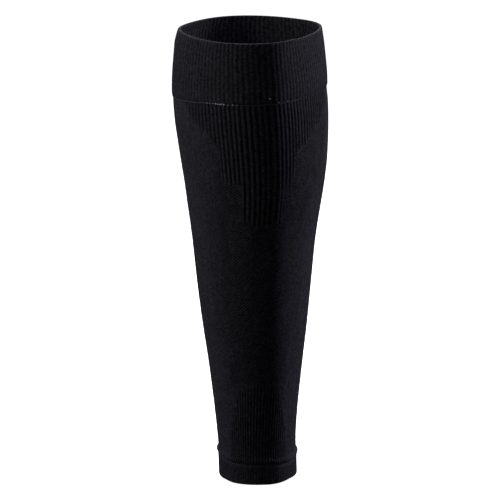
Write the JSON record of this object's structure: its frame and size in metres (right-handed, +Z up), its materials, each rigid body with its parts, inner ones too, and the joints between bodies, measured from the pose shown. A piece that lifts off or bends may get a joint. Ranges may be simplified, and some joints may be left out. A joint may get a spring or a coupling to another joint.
{
  "type": "calf compression sleeve",
  "caption": "Footless knitted compression sleeve for the calf: an open tapering tube with a ribbed double-knit top cuff, a ribbed V at the shin and a double-knit ankle hem.",
  "frame": {"origin": "centre of the ankle opening, in the plane of the sleeve's bottom edge", "axes": "+Z up along the leg from ankle to knee, -Y is the side of the shin, +X is to the right as seen from in front"},
  "size_m": [0.1219, 0.1459, 0.3553],
  "materials": {
    "cuff_knit": "double ribbed knit, near black, matt with a faint sheen",
    "body_knit": "fine elastic knit with twill and ribbed zones, near black, matt with a faint sheen",
    "hem_knit": "double fine-ribbed knit, near black, matt with a faint sheen"
  },
  "bodies": {
    "root": {"top_cuff": "cuff_knit", "leg_body": "body_knit", "ankle_hem": "hem_knit"}
  },
  "joints": []
}
